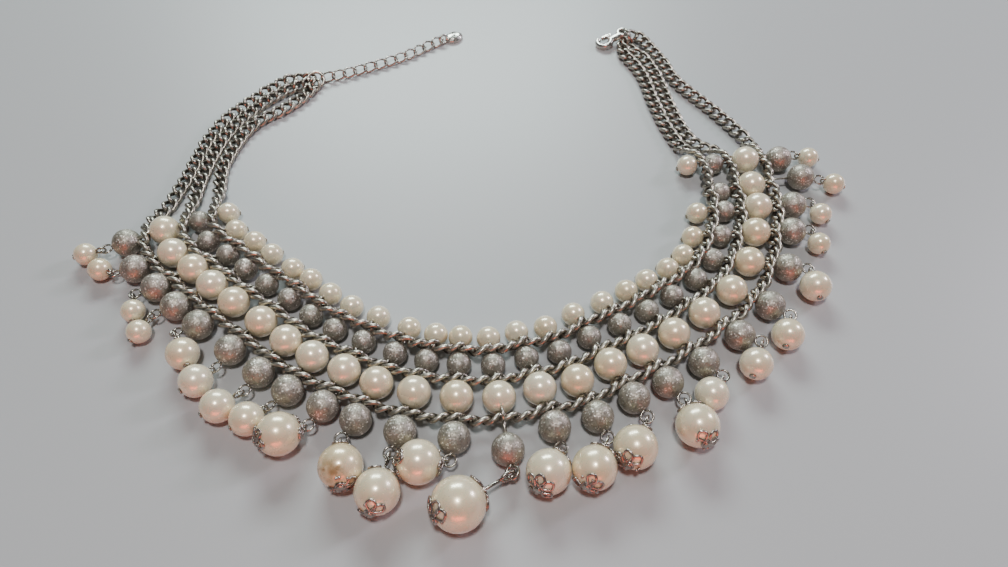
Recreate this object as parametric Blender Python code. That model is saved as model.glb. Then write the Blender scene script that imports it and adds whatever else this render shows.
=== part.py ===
"""Bib necklace, lying open and flat.

Three chains carry a bib of 124 beads in 25 columns. The inner chain has small pearls
above it and small stardust beads below it, the middle chain medium pearls, and the
outer chain large stardust beads with a pearl drop on each. The chains meet in a ring at
each end: a lobster clasp on the right one, an extender with a tag on the left one.

Metres, +Z up. The necklace rests on z = 0 and its free ends point to +Y.
"""

import math
from collections import namedtuple

import bmesh
import bpy
from mathutils import Euler, Matrix, Vector

MM = 0.001

# Bead diameters
SMALL_PEARL = 6.0 * MM
SMALL_STARDUST = 6.0 * MM
MEDIUM_PEARL = 8.0 * MM
LARGE_STARDUST = 7.5 * MM
DROP = {"s": 6.0 * MM, "m": 8.0 * MM, "l": 10.0 * MM, "x": 12.0 * MM}

# Chains, wires and clearances
CHAIN = 1.8 * MM
BAND = 3.4 * MM
BAND_FROM = 5.0 * MM
BAND_TAPER = 9.0 * MM
WIRE = 0.7 * MM
CLEAR = 0.3 * MM
SLOT = CHAIN + 2 * CLEAR
INNER_ROW_GAP = 1.6 * MM
INNER_REACH = 0.9 * MM
EYE = 1.9 * MM
EYE_CLEAR = 0.45 * MM
CHAIN_LIFT = 0.1 * MM
CLIMB = 14.0 * MM
FOOT_HALF = 0.42 * MM

# How much wider the columns stand at the medium pearls than at the inner chain
FAN = 1.12

# Caps on the large drops
CAP_WALL = 0.35 * MM
CAP_FROM = math.radians(22)
CAP_TO = math.radians(40)
CAP_EDGE = math.radians(3)
CAPPED_BEAD_RING = math.radians(70)
CAPPED = "lx"

# Facets and samples
SIDES = 10
PORT_SIDES = 4
LINK_WIRE_SIDES = 5
TUBE_STEP = 6.5 * MM
ROUTE_SAMPLES = 400
TANGENT_STEP = 0.02
SHARP_ANGLE = math.radians(50)

# Each column of the bib, from the left end of the chains to the right:
#   step   way along the inner chain to the next column, as a share of the column pitch
#   run    heading of that way
#   hang   heading of the column's pins, from the inner chain outwards
#   fall   extra length of the large stardust bead's pin, as a share of the eye
#   eye    heading of the eye below the large stardust bead
#   drop   heading of the drop from that eye
#   reach  length of the drop's own eye, as a share of the eye
#   size   the drop's size in DROP
Column = namedtuple("Column", "step run hang fall eye drop reach size")
COLUMNS = [
    Column(1.02, -61, -155, 0.0, -159, -165, 1.2, "s"),
    Column(1.00, -36, -149, 0.0, -165, 157, 0.9, "s"),
    Column(0.96, -39, -144, 0.0, -160, -77, 1.1, "s"),
    Column(1.09, -38, -140, 0.0, -155, -117, 1.3, "s"),
    Column(0.96, -34, -138, 0.0, -158, -60, 1.8, "m"),
    Column(1.03, -39, -126, 0.0, -118, -133, 0.6, "m"),
    Column(0.99, -33, -120, 0.0, -118, -141, 1.3, "m"),
    Column(1.07, -25, -116, 0.0, -132, -142, 0.7, "m"),
    Column(1.15, -23, -112, 0.0, -120, -155, 0.7, "l"),
    Column(0.99, -15, -112, 0.0, -121, -80, 1.1, "l"),
    Column(0.93, -7, -104, 0.0, -110, -100, 2.3, "l"),
    Column(1.00, -2, -91, 0.0, -98, -174, 0.9, "l"),
    Column(1.02, 14, -81, 1.5, -80, -146, 4.1, "x"),
    Column(1.03, 12, -72, 0.0, -78, -118, 0.8, "l"),
    Column(1.11, 29, -66, 0.0, -70, -116, 1.8, "l"),
    Column(1.13, 26, -62, 0.0, -62, -116, 2.0, "l"),
    Column(1.05, 29, -60, 0.0, -52, -79, 1.3, "l"),
    Column(0.99, 33, -53, 0.0, -41, -128, 1.2, "m"),
    Column(1.05, 35, -40, 0.0, -18, -115, 1.7, "m"),
    Column(1.01, 48, -27, 0.0, -33, -112, 1.2, "m"),
    Column(1.08, 64, -10, 0.0, -2, -90, 1.1, "m"),
    Column(1.23, 74, 3, 0.0, 8, -75, 0.9, "s"),
    Column(0.87, 89, 5, 0.0, 12, -62, 0.7, "s"),
    Column(1.64, 90, 13, 2.9, -10, -14, 0.5, "s"),
    Column(0.00, 0, 4, 0.0, 20, -7, 0.6, "s"),
]
MISSING_INNER_PEARL = 24

# Chosen points of the routes, in millimetres from the first column's foot on the left
# and from the last column's foot on the right, each from its ring to the bib
INNER_LEFT = [(18.2, 59.0), (15.9, 54.9), (13.0, 51.0), (9.9, 47.6), (6.2, 44.8), (2.9, 41.6),
              (0.5, 37.2), (-1.2, 32.2), (-2.4, 26.7), (-3.1, 21.2), (-2.5, 15.4), (-1.3, 9.2)]
MIDDLE_LEFT = [(15.6, 60.5), (12.9, 59.1), (9.5, 57.2), (6.1, 54.0), (2.9, 50.3), (-0.2, 45.7),
               (-3.2, 40.7), (-5.2, 35.5), (-6.6, 30.2), (-7.5, 24.2), (-8.2, 17.6), (-8.4, 11.1),
               (-8.1, 4.6)]
OUTER_LEFT = [(15.3, 63.3), (12.2, 63.6), (8.7, 62.2), (5.6, 59.2), (2.4, 55.5), (-0.9, 51.4),
              (-4.5, 46.5), (-7.6, 41.2), (-9.7, 35.6), (-10.9, 30.1), (-11.8, 22.6), (-12.9, 15.1),
              (-14.8, 6.4), (-17.5, -1.6)]
INNER_RIGHT = [(-16.9, 60.9), (-17.1, 57.1), (-16.3, 54.2), (-13.9, 49.6), (-12.2, 44.6), (-11.2, 39.6),
               (-10.4, 33.6), (-9.5, 27.8), (-8.1, 21.2), (-6.4, 14.9), (-4.5, 9.4), (-2.1, 5.2)]
MIDDLE_RIGHT = [(-14.6, 60.1), (-13.1, 56.9), (-11.0, 54.0), (-9.1, 49.6), (-7.7, 44.6), (-6.8, 39.6),
                (-6.0, 34.2), (-5.1, 28.6), (-4.0, 23.0), (-2.6, 17.2), (-0.7, 12.0), (2.9, 8.6),
                (6.1, 5.8)]
OUTER_RIGHT = [(-14.4, 63.9), (-13.0, 66.6), (-10.8, 65.2), (-8.6, 61.0), (-6.1, 55.8), (-4.1, 50.2),
               (-2.7, 45.0), (-0.5, 39.6), (3.1, 34.2), (6.9, 28.8), (10.5, 23.0), (13.9, 17.0),
               (16.5, 11.4), (18.0, 7.0)]

# Ring at the left end, and the extender's route and links
RING = 6.2 * MM
RING_WIRE = 1.0 * MM
LEFT_RING_ROLL = math.radians(35)
LEFT_RING_AT = (18.7, 62.4)
EXTENDER_ROUTE = [(18.7, 62.4), (26.7, 65.3), (34.3, 68.8), (41.3, 72.3), (48.4, 76.5),
                  (54.0, 80.9), (61.0, 85.9), (66.0, 87.6)]
LINKS = 12
LINK_PITCH = 3.7 * MM
LINK_WIDTH = 3.9 * MM
LINK_ROLL = math.radians(37)
LINK_TWIST = math.radians(-45)
FIRST_LINK_LEAN = math.radians(26)
RING_SIDES = 10

# End tag
TAG_LENGTH = 6.5 * MM
TAG_WIDTH = 5.2 * MM
TAG_HEIGHT = 2.0 * MM
TAG_PROFILE = ((0.0, 0.92), (0.4, 1.0), (0.8, 0.7))
TAG_EYE = 3.6 * MM
TAG_EYE_ROLL = math.radians(75)
TAG_SIDES = 12

# Ring at the right end, and the lobster clasp with its gate on the -Y side of its own frame
RIGHT_RING_AT = (-15.9, 63.3)
RIGHT_RING_HEADING = 112
CLASP_HEADING = 205
GATE_SIDE = -1
CLASP_HEIGHT = 1.6 * MM
HOOK = 6.0 * MM
HOOK_BAR = 1.25 * MM
HOOK_AT = 7.1 * MM
HOOK_TIP = 68
CLASP_EYE = 4.1 * MM
CLASP_EYE_HOLE = 2.3 * MM
NECK = 1.7 * MM
NECK_OFFSET = -0.55 * MM
PIVOT = (4.3 * MM, 1.45 * MM)
KNUCKLE = 1.4 * MM
LEVER_WIDTH = 0.8 * MM
LEVER_RECESS = 0.24 * MM
THUMB = 0.65 * MM
THUMB_AT = 0.4
THUMB_END = 0.55
ARC_STEP = 18

PEARL_COLOUR = (0.80, 0.72, 0.60)
STARDUST_COLOUR = (0.42, 0.38, 0.36)
METAL_COLOUR = (0.34, 0.31, 0.28)
CLASP_COLOUR = (0.55, 0.53, 0.50)


def material(name, colour, roughness, metallic):
    """A plain material with the part's colour, roughness and metallic value."""
    made = bpy.data.materials.new(name)
    made.use_nodes = True
    shader = made.node_tree.nodes["Principled BSDF"]
    shader.inputs["Base Color"].default_value = (*colour, 1.0)
    shader.inputs["Roughness"].default_value = roughness
    shader.inputs["Metallic"].default_value = metallic
    return made


def heading(degrees, length=1.0):
    """A level vector of this length, with its heading in degrees from +X."""
    angle = math.radians(degrees)
    return Vector((math.cos(angle), math.sin(angle), 0.0)) * length


def add_object(name, mesh, parent, *materials):
    """One named object under the necklace's empty, shaded smooth."""
    for made in materials:
        mesh.materials.append(made)
    mesh.shade_smooth()
    mesh.set_sharp_from_angle(angle=SHARP_ANGLE)
    added = bpy.data.objects.new(name, mesh)
    added.parent = parent
    bpy.context.collection.objects.link(added)
    return added


def finish_mesh(name, bm):
    """A mesh from a closed bmesh, with its faces pointing out."""
    bmesh.ops.recalc_face_normals(bm, faces=bm.faces)
    mesh = bpy.data.meshes.new(name)
    bm.to_mesh(mesh)
    bm.free()
    return mesh


# Loops of points, and the faces between them

def ring_points(centre, axis, along, radius, sides, start=-90.0):
    """Points of a circle round an axis; the first lies straight below the axis."""
    side = Vector((0, 0, 1)).cross(axis).normalized()
    up = axis.cross(side).normalized()
    points = []
    for k in range(sides):
        angle = math.radians(start + 360.0 * k / sides)
        points.append(centre + axis * along + (side * math.cos(angle) + up * math.sin(angle)) * radius)
    return points


def loop_of(bm, points):
    return [bm.verts.new(point) for point in points]


def zip_loops(bm, first, second, slot=0):
    """Faces between two loops that run the same way round, of any two counts."""
    count_a, count_b = len(first), len(second)
    if count_a == count_b:
        for k in range(count_a):
            face = (first[k], first[(k + 1) % count_a], second[(k + 1) % count_b], second[k])
            bm.faces.new(face).material_index = slot
        return
    a, b = 0, 0
    while a < count_a or b < count_b:
        if b >= count_b or (a < count_a and (a + 0.5) / count_a <= (b + 0.5) / count_b):
            face = (first[a % count_a], first[(a + 1) % count_a], second[b % count_b])
            a += 1
        else:
            face = (first[a % count_a], second[(b + 1) % count_b], second[b % count_b])
            b += 1
        bm.faces.new(face).material_index = slot


def zip_nearest(bm, first, second, slot=0):
    """Faces between two loops of one count, matched by the shortest ways across."""
    count = len(first)
    best = None
    for order in (second, second[::-1]):
        for shift in range(count):
            turned = order[shift:] + order[:shift]
            length = sum((p.co - q.co).length for p, q in zip(first, turned))
            if best is None or length < best[0]:
                best = (length, turned)
    zip_loops(bm, first, best[1], slot)


def fan(bm, loop, point, slot=0):
    tip = bm.verts.new(point)
    for k, vert in enumerate(loop):
        bm.faces.new((vert, loop[(k + 1) % len(loop)], tip)).material_index = slot


# Beads

def bead_profile(radius, bands, capped):
    """The bead's rings, as (angle from its near pole, radius, is it on a cap)."""
    rings = []
    if capped:
        outer = radius + CAP_WALL
        rings = [(CAP_FROM, outer, True), (CAP_TO, outer, True), (CAP_TO + CAP_EDGE, radius, False),
                 (CAPPED_BEAD_RING, radius, False)]
        rings += [(math.pi - angle, size, cap) for angle, size, cap in reversed(rings)]
        return rings
    for k in range(1, bands):
        rings.append((math.pi * k / bands, radius, False))
    return rings


def add_bead(bm, centre, axis, diameter, bands, slots, near=False, far=False, capped=False):
    """A round bead on an axis, resting on z = 0.

    It returns its lifted centre and its port loops, one round each end of its hole.
    """
    bead_slot, metal_slot = slots
    radius = diameter / 2
    port_radius = WIRE / 2
    profile = bead_profile(radius, bands, capped)
    pole = profile[0][1] if capped else radius
    port_along = math.sqrt(pole ** 2 - port_radius ** 2)
    loops = []
    for angle, size, _ in profile:
        loops.append(ring_points(centre, axis, -math.cos(angle) * size, math.sin(angle) * size, SIDES))
    lift = -min(point.z for loop in loops for point in loop)
    up = Vector((0, 0, lift))
    loops = [loop_of(bm, [point + up for point in loop]) for loop in loops]
    for k in range(len(loops) - 1):
        on_cap = profile[k][2] or profile[k + 1][2]
        zip_loops(bm, loops[k], loops[k + 1], metal_slot if on_cap else bead_slot)
    ports = []
    for wanted, end, loop in ((near, -1, loops[0]), (far, 1, loops[-1])):
        end_slot = metal_slot if capped else bead_slot
        if wanted:
            points = ring_points(centre + up, axis, end * port_along, port_radius, PORT_SIDES)
            port = loop_of(bm, points)
            zip_loops(bm, port, loop, end_slot)
            ports.append(port)
        else:
            fan(bm, loop, centre + up + axis * end * pole, end_slot)
    return centre + up, ports


def add_pin(bm, port, end, axis, slot):
    """A straight pin from a port to its end, closed there."""
    tip = loop_of(bm, ring_points(end, axis, 0.0, WIRE / 2, PORT_SIDES))
    zip_nearest(bm, port, tip, slot)
    bm.faces.new(tip).material_index = slot


# Chains

def smooth_route(points):
    """A function of 0 to len(points) - 1 that runs smoothly through the points."""
    ends = [points[0] * 2 - points[1]] + points + [points[-1] * 2 - points[-2]]

    def at(where):
        k = min(int(where), len(points) - 2)
        t = where - k
        a, b, c, d = ends[k:k + 4]
        return 0.5 * (2 * b + (c - a) * t + (2 * a - 5 * b + 4 * c - d) * t * t
                      + (3 * b - a - 3 * c + d) * t * t * t)
    return at


def chain_points(left, feet, right):
    """The chain's points, each with its half width: even ones above, and two at each foot.

    The chain lies flat on the upper stretches, so that it is wider there than in the bib.
    """
    route = left + feet + right
    at = smooth_route(route)
    points = []

    def stretch(first, last):
        dense = [at(first + (last - first) * k / ROUTE_SAMPLES) for k in range(ROUTE_SAMPLES + 1)]
        walked = [0.0]
        for p, q in zip(dense, dense[1:]):
            walked.append(walked[-1] + (q - p).length)
        count = max(2, round(walked[-1] / TUBE_STEP))
        pairs = []
        for k in range(count + 1):
            spot = round(ROUTE_SAMPLES * k / count)
            from_end = min(walked[spot], walked[-1] - walked[spot])
            widened = min(1.0, max(0.0, (from_end - BAND_FROM) / BAND_TAPER))
            half = (CHAIN + (BAND - CHAIN) * widened) / 2
            dense[spot].z = max(dense[spot].z, half + CHAIN_LIFT)
            pairs.append((dense[spot], half))
        return pairs

    points += stretch(0, len(left))[:-1]
    for k in range(len(feet)):
        where = len(left) + k
        tangent = (at(where + TANGENT_STEP) - at(where - TANGENT_STEP)).normalized()
        points += [(feet[k] - tangent * FOOT_HALF, CHAIN / 2), (feet[k] + tangent * FOOT_HALF, CHAIN / 2)]
    points += stretch(len(left) + len(feet) - 1, len(route) - 1)[1:]
    return points


def chain_tube(points):
    """The outer form of a chain as a bmesh, from a bevelled curve with filled caps.

    Each point comes with the chain's half width there.
    """
    curve = bpy.data.curves.new("chain_route", "CURVE")
    curve.dimensions = "3D"
    curve.twist_mode = "Z_UP"
    curve.bevel_depth = CHAIN / 2
    curve.bevel_resolution = 2
    curve.use_fill_caps = True
    spline = curve.splines.new("POLY")
    spline.points.add(len(points) - 1)
    for spot, (point, half) in zip(spline.points, points):
        spot.co = (*point, 1.0)
        spot.radius = half / (CHAIN / 2)
    guide = bpy.data.objects.new("chain_route", curve)
    mesh = guide.to_mesh()
    bm = bmesh.new()
    bm.from_mesh(mesh)
    guide.to_mesh_clear()
    bpy.data.objects.remove(guide)
    bmesh.ops.remove_doubles(bm, verts=bm.verts, dist=1e-6)
    for face in bm.faces:
        face.material_index = 0
    return bm


def join_to_chain(bm, chain_faces, port, foot):
    """Open the chain's face at the foot that looks at the port, and bridge the two."""
    middle = sum((vert.co for vert in port), Vector()) / len(port)
    way = (middle - foot).normalized()
    near = [face for face in chain_faces if face.is_valid and len(face.verts) == 4
            and (face.calc_center_median() - foot).length < CHAIN * 0.6]
    face = max(near, key=lambda one: (one.calc_center_median() - foot).dot(way))
    loop = list(face.verts)
    chain_faces.remove(face)
    bm.faces.remove(face)
    zip_nearest(bm, loop, port)


def valley_height(upper, lower, across_upper, across_lower):
    """The height at which a chain rests between two rows of beads of these diameters."""
    heights = []
    for diameter, across in ((upper, across_upper), (lower, across_lower)):
        reach = diameter / 2 + CLEAR + CHAIN / 2
        heights.append(diameter / 2 + math.sqrt(max(0.0, reach ** 2 - across ** 2)))
    return max(heights)


# Layout of the bib, in the plan and in height

class Bib:
    """Where each bead and each chain foot lies, worked out column by column."""

    def __init__(self):
        pitch = max(SMALL_PEARL + INNER_ROW_GAP, (MEDIUM_PEARL + CLEAR) / FAN)
        inner = SMALL_PEARL / 2 + INNER_REACH
        below = SMALL_STARDUST / 2 + INNER_REACH
        small_to_chain = SMALL_STARDUST / 2 + SLOT / 2
        chain_to_medium = MEDIUM_PEARL / 2 + SLOT / 2
        medium_to_chain = MEDIUM_PEARL / 2 + SLOT / 2
        chain_to_large = LARGE_STARDUST / 2 + SLOT / 2
        inner_z = valley_height(SMALL_PEARL, SMALL_STARDUST, inner, below)
        middle_z = valley_height(SMALL_STARDUST, MEDIUM_PEARL, small_to_chain, chain_to_medium)
        outer_z = valley_height(MEDIUM_PEARL, LARGE_STARDUST, medium_to_chain, chain_to_large)
        self.inner_feet, self.middle_feet, self.outer_feet = [], [], []
        self.a, self.b, self.c, self.d, self.eyes, self.drops = [], [], [], [], [], []
        foot = Vector((0, 0, 0))
        for column in COLUMNS:
            out = heading(column.hang)
            middle_at = below + small_to_chain
            medium_at = middle_at + chain_to_medium
            outer_at = medium_at + medium_to_chain
            large_at = outer_at + chain_to_large + column.fall * EYE
            self.a.append(foot - out * inner)
            self.b.append(foot + out * below)
            self.c.append(foot + out * medium_at)
            self.d.append(foot + out * large_at)
            self.inner_feet.append(foot + Vector((0, 0, inner_z)))
            self.middle_feet.append(foot + out * middle_at + Vector((0, 0, middle_z)))
            self.outer_feet.append(foot + out * outer_at + Vector((0, 0, outer_z)))
            eye = self.d[-1] + heading(column.eye, LARGE_STARDUST / 2 + EYE)
            self.eyes.append(eye)
            diameter = DROP[column.size]
            self.drops.append(eye + heading(column.drop, column.reach * EYE + diameter / 2))
            foot = foot + heading(column.run, column.step * pitch)

    def route(self, left, feet, right):
        """A chain's upper points with their heights: on the table, then up to the bib."""
        rest = CHAIN / 2 + CHAIN_LIFT
        sides = []
        for chosen, anchor, foot in ((left, self.inner_feet[0], feet[0]),
                                     (right, self.inner_feet[-1], feet[-1])):
            points = []
            for x, y in chosen:
                point = Vector((anchor.x + x * MM, anchor.y + y * MM, rest))
                level = Vector((foot.x - point.x, foot.y - point.y, 0)).length
                climb = max(0.0, 1 - level / CLIMB)
                point.z = rest + (foot.z - rest) * climb * climb * (3 - 2 * climb)
                points.append(point)
            sides.append(points)
        return sides[0], sides[1][::-1]


def row_on_chain(name, parent, feet, sides, rows, materials):
    """A chain with its rows of beads, fused into one body.

    Each row is (plan centres, diameter, bands, slots, skipped column, end pins).
    """
    bm = chain_tube(chain_points(sides[0], feet, sides[1]))
    chain_faces = set(bm.faces)
    for centres, diameter, bands, slots, skipped, pins in rows:
        for k, (centre, foot) in enumerate(zip(centres, feet)):
            if k + 1 == skipped:
                continue
            level = centre + Vector((0, 0, diameter / 2))
            axis = (level - foot).normalized()
            if pins:
                tilt = Vector((0, 0, axis.z))
                axis = ((pins[k] - centre).normalized() * math.sqrt(1 - axis.z ** 2) + tilt).normalized()
            lifted, ports = add_bead(bm, centre, axis, diameter, bands, slots, True, bool(pins))
            join_to_chain(bm, chain_faces, ports[0], foot)
            if pins:
                length = (pins[k] - centre).length - EYE_CLEAR
                add_pin(bm, ports[1], lifted + axis * length, axis, 0)
    add_object(name, finish_mesh(name, bm), parent, *materials)


def drop_mesh(name, eye, centre, eye_height, diameter, capped):
    """A pearl drop on its pin, with a cap at each end of a large one."""
    bm = bmesh.new()
    axis = (centre - eye).normalized()
    lifted, ports = add_bead(bm, centre, axis, diameter, 4, (0, 1), True, False, capped)
    start = eye + axis * EYE_CLEAR
    start.z = (lifted.z + eye_height) / 2
    add_pin(bm, ports[0], start, axis, 1)
    return finish_mesh(name, bm)


# Rings, links, tag and clasp

def ring_mesh(name, length, width, wire, sides, wire_sides, twist=0.0):
    """A round or oval link lying level on its own centre, its length along X.

    A twist turns its far end about its length, and its near end as much the other way.
    """
    bm = bmesh.new()
    straight = (length - width) / 2
    middle_radius = (width - wire) / 2
    loops = []
    for k in range(sides):
        angle = 2 * math.pi * (k + 0.5) / sides
        way = Vector((math.cos(angle), math.sin(angle), 0))
        end = Vector((math.copysign(straight, way.x), 0, 0))
        centre = end + way * middle_radius
        loop = []
        for j in range(wire_sides):
            turn = 2 * math.pi * (j + 0.25) / wire_sides
            point = centre + (way * math.cos(turn) + Vector((0, 0, math.sin(turn)))) * wire / 2
            twisted = Matrix.Rotation(twist * point.x / (length / 2), 3, "X")
            loop.append(bm.verts.new(twisted @ point))
        loops.append(loop)
    for k in range(sides):
        zip_loops(bm, loops[k], loops[(k + 1) % sides])
    return finish_mesh(name, bm)


def stand(link):
    """Set a turned object down on z = 0."""
    matrix = link.matrix_basis
    link.location.z -= min((matrix @ vert.co).z for vert in link.data.vertices)


def build_extender(parent, anchor, metal):
    """The left ring, the extender's links and the end tag on one smooth line."""
    points = [anchor + Vector((x * MM, y * MM, 0)) for x, y in EXTENDER_ROUTE]
    at = smooth_route(points)
    dense = [at((len(points) - 1) * k / ROUTE_SAMPLES) for k in range(ROUTE_SAMPLES + 1)]

    def along(distance):
        walked = 0.0
        for p, q in zip(dense, dense[1:]):
            step = (q - p).length
            if walked + step >= distance:
                return p + (q - p) * ((distance - walked) / step), (q - p).normalized()
            walked += step
        return dense[-1], (dense[-1] - dense[-2]).normalized()

    link_length = LINK_PITCH + 2 * WIRE + CLEAR
    ring_hold = (RING - 2 * RING_WIRE) / 2 - WIRE - CLEAR
    shared = None

    def place(name, mesh, distance, roll):
        spot, way = along(distance)
        placed = add_object(name, mesh, parent, *([] if mesh.materials else [metal]))
        placed.rotation_euler = (roll, 0, math.atan2(way.y, way.x))
        placed.location = spot
        stand(placed)
        return placed

    ring = ring_mesh("left_ring", RING, RING, RING_WIRE, RING_SIDES, LINK_WIRE_SIDES)
    place("left_ring", ring, 0.0, LEFT_RING_ROLL)
    distance = ring_hold + link_length / 2
    for k in range(LINKS):
        if shared is None:
            shared = ring_mesh("extender_link", link_length, LINK_WIDTH, WIRE, SIDES, LINK_WIRE_SIDES,
                               LINK_TWIST)
        roll = LINK_ROLL + FIRST_LINK_LEAN / 2 ** k
        place(f"extender_link_{k + 1:02d}", shared, distance, roll)
        distance += LINK_PITCH
    tag_at = distance - LINK_PITCH + link_length / 2 - WIRE - CLEAR
    spot, way = along(tag_at)
    build_tag(parent, spot, way, metal)


def build_tag(parent, start, way, metal):
    """A puffed oval tag with a flat back and a small eye through the last link."""
    bm = bmesh.new()
    body = []
    for height, share in TAG_PROFILE:
        loop = []
        for k in range(TAG_SIDES):
            angle = 2 * math.pi * k / TAG_SIDES
            loop.append(Vector((math.cos(angle) * TAG_LENGTH / 2 * share,
                                math.sin(angle) * TAG_WIDTH / 2 * share, height * TAG_HEIGHT)))
        body.append(loop_of(bm, loop))
    zip_loops(bm, body[0], body[1])
    zip_loops(bm, body[1], body[2])
    fan(bm, body[2], Vector((0, 0, TAG_HEIGHT)))
    bm.faces.new(body[0])
    tag = add_object("end_tag", finish_mesh("end_tag", bm), parent, metal)
    tag.rotation_euler = (0, 0, math.atan2(way.y, way.x))
    eye_reach = TAG_EYE - WIRE
    tag.location = start + way * (eye_reach - WIRE + TAG_LENGTH / 2)
    tag.location.z = 0
    eye_mesh = ring_mesh("tag_eye", TAG_EYE, TAG_EYE, WIRE, SIDES, LINK_WIRE_SIDES)
    eye = add_object("tag_eye", eye_mesh, parent, metal)
    eye.rotation_euler = (TAG_EYE_ROLL, 0, math.atan2(way.y, way.x))
    eye.location = start + way * (TAG_EYE / 2 - WIRE)
    stand(eye)
    eye.hide_render = True
    eye.display_type = "WIRE"
    fuse = tag.modifiers.new("eye", "BOOLEAN")
    fuse.operation = "UNION"
    fuse.object = eye


def arc(centre, radius, first, last):
    """Points of an arc in the plane, from one angle to another, in even steps."""
    count = max(2, round(abs(last - first) / ARC_STEP))
    points = []
    for k in range(count + 1):
        angle = math.radians(first + (last - first) * k / count)
        points.append((centre[0] + math.cos(angle) * radius, centre[1] + math.sin(angle) * radius))
    return points


def slab_mesh(name, outline, height, edge, lift=0.0):
    """A flat outline raised to a height, with its upper edge bevelled."""
    bm = bmesh.new()
    face = bm.faces.new([bm.verts.new((x, y, lift)) for x, y in outline])
    raised = bmesh.ops.extrude_face_region(bm, geom=[face])
    top = [item for item in raised["geom"] if isinstance(item, bmesh.types.BMVert)]
    bmesh.ops.translate(bm, verts=top, vec=(0, 0, height))
    rim = [one for one in bm.edges if one.verts[0] in top and one.verts[1] in top]
    bmesh.ops.bevel(bm, geom=rim, offset=edge, segments=1, affect="EDGES")
    return finish_mesh(name, bm)


def build_clasp(parent, anchor, metal):
    """The right ring, standing, and the lobster clasp lying flat in it."""
    ring_at = anchor + Vector((RIGHT_RING_AT[0] * MM, RIGHT_RING_AT[1] * MM, 0))
    ring_shape = ring_mesh("right_ring", RING, RING, RING_WIRE, RING_SIDES, LINK_WIRE_SIDES)
    ring = add_object("right_ring", ring_shape, parent, metal)
    ring.rotation_euler = (math.radians(90), 0, math.radians(RIGHT_RING_HEADING))
    ring.location = ring_at
    stand(ring)

    # The clasp's eye is held up by the ring, and the far end of its hook rests on the table
    tail_height = RING / 2 - CLASP_HEIGHT / 2
    tilt = math.asin(tail_height / (HOOK_AT + HOOK / 2))
    turn = Euler((0, tilt, math.radians(CLASP_HEADING)))
    origin = ring_at + heading(RIGHT_RING_HEADING, (RING - RING_WIRE) / 2)
    origin.z = RING / 2
    origin -= turn.to_matrix() @ Vector((0, 0, CLASP_HEIGHT / 2))

    hook_centre = (HOOK_AT, 0.0)
    outer = HOOK / 2
    inner = outer - HOOK_BAR
    low, high = NECK_OFFSET - NECK / 2, NECK_OFFSET + NECK / 2
    eye_radius = CLASP_EYE / 2
    eye_low = math.degrees(math.asin(low / eye_radius))
    eye_high = math.degrees(math.asin(high / eye_radius))
    join_low = 180 - math.degrees(math.asin(low / outer))
    join_high = 180 - math.degrees(math.asin(high / inner))
    tip = (hook_centre[0] + math.cos(math.radians(HOOK_TIP)) * (outer + inner) / 2,
           math.sin(math.radians(HOOK_TIP)) * (outer + inner) / 2)
    outline = arc((0, 0), eye_radius, 360 + eye_low, eye_high)
    outline += arc(hook_centre, inner, join_high, 360 + HOOK_TIP)
    outline += arc(hook_centre, outer, 360 + HOOK_TIP, join_low)
    outline = [(x, y * GATE_SIDE) for x, y in outline]
    body = add_object("clasp_body", slab_mesh("clasp_body", outline, CLASP_HEIGHT, HOOK_BAR / 3),
                      parent, metal)
    body.rotation_euler = turn
    body.location = origin
    bore_mesh = slab_mesh("clasp_bore", arc((0, 0), CLASP_EYE_HOLE / 2, 0, 345), CLASP_HEIGHT * 2,
                          WIRE / 10, -CLASP_HEIGHT / 2)
    bore = add_object("clasp_bore", bore_mesh, parent, metal)
    bore.rotation_euler = body.rotation_euler
    bore.location = origin
    bore.hide_render = True
    bore.display_type = "WIRE"
    cut = body.modifiers.new("eye", "BOOLEAN")
    cut.operation = "DIFFERENCE"
    cut.object = bore

    way = Vector((tip[0] - PIVOT[0], (tip[1] - PIVOT[1]) * GATE_SIDE))
    reach = way.length - HOOK_BAR / 2 - CLEAR
    half = LEVER_WIDTH / 2
    knuckle = KNUCKLE / 2
    meet = math.degrees(math.asin(half / knuckle))
    lever_outline = arc((0, 0), knuckle, meet, 360 - meet)
    lever_outline += [(reach * THUMB_END, -half), (reach, -half), (reach, half),
                      (reach * THUMB_END, half), (reach * THUMB_AT, half + THUMB)]
    lever_outline = [(x, y * GATE_SIDE) for x, y in lever_outline]
    lever_height = CLASP_HEIGHT - 2 * LEVER_RECESS
    lever_mesh = slab_mesh("clasp_lever", lever_outline, lever_height, WIRE / 5, LEVER_RECESS)
    lever = add_object("clasp_lever", lever_mesh, parent, metal)
    lever_turn = turn.to_matrix() @ Matrix.Rotation(math.atan2(way.y, way.x), 3, "Z")
    lever.rotation_euler = lever_turn.to_euler()
    lever.location = origin + turn.to_matrix() @ Vector((PIVOT[0], PIVOT[1] * GATE_SIDE, 0))


def centre_on_base(parent):
    """Move the whole necklace so that the origin is under the middle of its box."""
    bpy.context.view_layer.update()
    low = [math.inf] * 2
    high = [-math.inf] * 2
    graph = bpy.context.evaluated_depsgraph_get()
    for item in bpy.data.objects:
        if item.type != "MESH" or item.hide_render:
            continue
        seen = item.evaluated_get(graph)
        for vert in seen.to_mesh().vertices:
            spot = seen.matrix_world @ vert.co
            for k in range(2):
                low[k] = min(low[k], spot[k])
                high[k] = max(high[k], spot[k])
        seen.to_mesh_clear()
    parent.location = (-(low[0] + high[0]) / 2, -(low[1] + high[1]) / 2, 0)


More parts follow.
